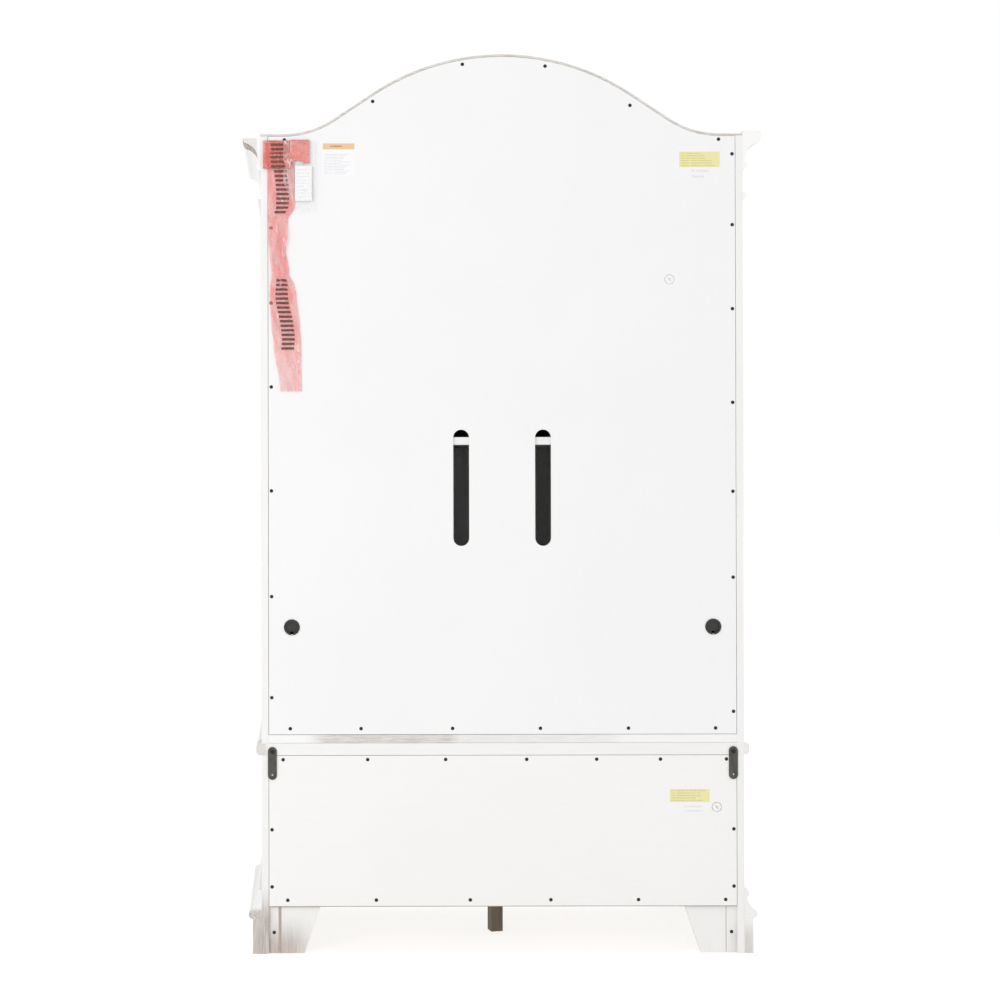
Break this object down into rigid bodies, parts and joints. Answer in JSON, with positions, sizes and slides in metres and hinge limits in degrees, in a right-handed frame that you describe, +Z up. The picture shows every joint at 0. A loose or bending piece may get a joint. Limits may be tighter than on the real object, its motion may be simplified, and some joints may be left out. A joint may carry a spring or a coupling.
{
  "type": "armoire",
  "caption": "Tall free-standing armoire with an arched top, two hinged panelled doors, shelves and a hanging rod above two side-by-side drawers on bracket feet.",
  "frame": {"origin": "centre of the footprint on the floor, under the whole piece", "axes": "+Z up, the doors face -Y, the back panels face +Y, +X is the right-hand side seen from the front"},
  "size_m": [1.172, 0.533, 2.038],
  "materials": {
    "painted_wood": "satin antique white paint on wood, slightly worn at edges",
    "painted_back": "thin white paint on hardboard",
    "inside_wood": "clear-sealed light wood with overspray",
    "bare_leg": "unpainted dark brown wood",
    "screws": "black oxide",
    "strap_metal": "black",
    "hinge_metal": "antique brass",
    "knob_metal": "antique brass",
    "slide_steel": "zinc plated",
    "rod_steel": "bright plated tube",
    "pin_steel": "nickel plated",
    "grommet_plastic": "black moulded plastic",
    "catch_plastic": "white moulded plastic with steel poles",
    "bag_film": "thin translucent red film"
  },
  "bodies": {
    "cabinet": {"adjustable_shelf": "inside_wood", "arched_top_rail": "painted_wood", "base_back_panel": "painted_back", "base_bottom_board": "inside_wood", "base_left_side": "painted_wood", "base_moulding_front": "painted_wood", "base_moulding_sides": "painted_wood", "base_rails": "inside_wood", "base_right_side": "painted_wood", "base_stiles": "painted_wood", "base_top_board": "painted_wood", "centre_leg": "bare_leg", "cord_grommets": "grommet_plastic", "crown_front": "painted_wood", "crown_returns": "painted_wood", "door_catches": "catch_plastic", "drawer_divider": "inside_wood", "frame_hinge_leaves": "hinge_metal", "garment_rod": "rod_steel", "hardware_bag": "bag_film", "hinge_pins": "hinge_metal", "lower_back_screws": "screws", "neck_bead": "painted_wood", "plinth_front": "painted_wood", "plinth_sides": "painted_wood", "rear_corner_posts": "inside_wood", "rear_foot_brackets": "painted_wood", "roof_panel": "painted_wood", "shelf_pins": "pin_steel", "slide_case_members": "slide_steel", "tv_shelf": "inside_wood", "upper_back_panel": "painted_back", "upper_back_screws": "screws", "upper_bottom_board": "inside_wood", "upper_front_frame": "painted_wood", "upper_left_side": "painted_wood", "upper_rear_rails": "inside_wood", "upper_right_side": "painted_wood"},
    "left_door": {"left_door_frame": "painted_wood", "left_door_hinge_leaves": "hinge_metal", "left_door_knob": "knob_metal", "left_door_panels": "painted_wood", "left_door_strike": "pin_steel"},
    "right_door": {"right_door_frame": "painted_wood", "right_door_hinge_leaves": "hinge_metal", "right_door_knob": "knob_metal", "right_door_panels": "painted_wood", "right_door_strike": "pin_steel"},
    "left_drawer": {"left_drawer_box": "inside_wood", "left_drawer_front": "painted_wood", "left_drawer_knobs": "knob_metal", "left_slide_drawer_members": "slide_steel"},
    "right_drawer": {"right_drawer_box": "inside_wood", "right_drawer_front": "painted_wood", "right_drawer_knobs": "knob_metal", "right_slide_drawer_members": "slide_steel"},
    "left_slides": {"left_slide_mid_members": "slide_steel"},
    "right_slides": {"right_slide_mid_members": "slide_steel"},
    "left_strap": {"left_tie_strap": "strap_metal"},
    "right_strap": {"right_tie_strap": "strap_metal"}
  },
  "joints": [
    {"name": "left_door_hinge", "type": "hinge", "parent": "cabinet", "child": "left_door", "pos_m": [-0.489, -0.2305, 1.1], "axis": [0, 0, -1], "range_deg": [0, 170]},
    {"name": "right_door_hinge", "type": "hinge", "parent": "cabinet", "child": "right_door", "pos_m": [0.489, -0.2305, 1.1], "axis": [0, 0, 1], "range_deg": [0, 170]},
    {"name": "left_drawer_slide", "type": "slide", "parent": "cabinet", "child": "left_drawer", "axis": [0, -1, 0], "range_m": [0, 0.35]},
    {"name": "right_drawer_slide", "type": "slide", "parent": "cabinet", "child": "right_drawer", "axis": [0, -1, 0], "range_m": [0, 0.35]},
    {"name": "left_mid_travel", "type": "slide", "parent": "cabinet", "child": "left_slides", "axis": [0, -1, 0], "range_m": [0, 0.175]},
    {"name": "right_mid_travel", "type": "slide", "parent": "cabinet", "child": "right_slides", "axis": [0, -1, 0], "range_m": [0, 0.175]},
    {"name": "left_strap_pivot", "type": "hinge", "parent": "cabinet", "child": "left_strap", "pos_m": [-0.5205, 0.2558, 0.456], "axis": [0, -1, 0], "range_deg": [0, 180]},
    {"name": "right_strap_pivot", "type": "hinge", "parent": "cabinet", "child": "right_strap", "pos_m": [0.5205, 0.2558, 0.456], "axis": [0, 1, 0], "range_deg": [0, 180]}
  ],
  "couplings": [
    {"joint": "left_mid_travel", "follows": "left_drawer_slide", "ratio": 0.5},
    {"joint": "right_mid_travel", "follows": "right_drawer_slide", "ratio": 0.5}
  ]
}
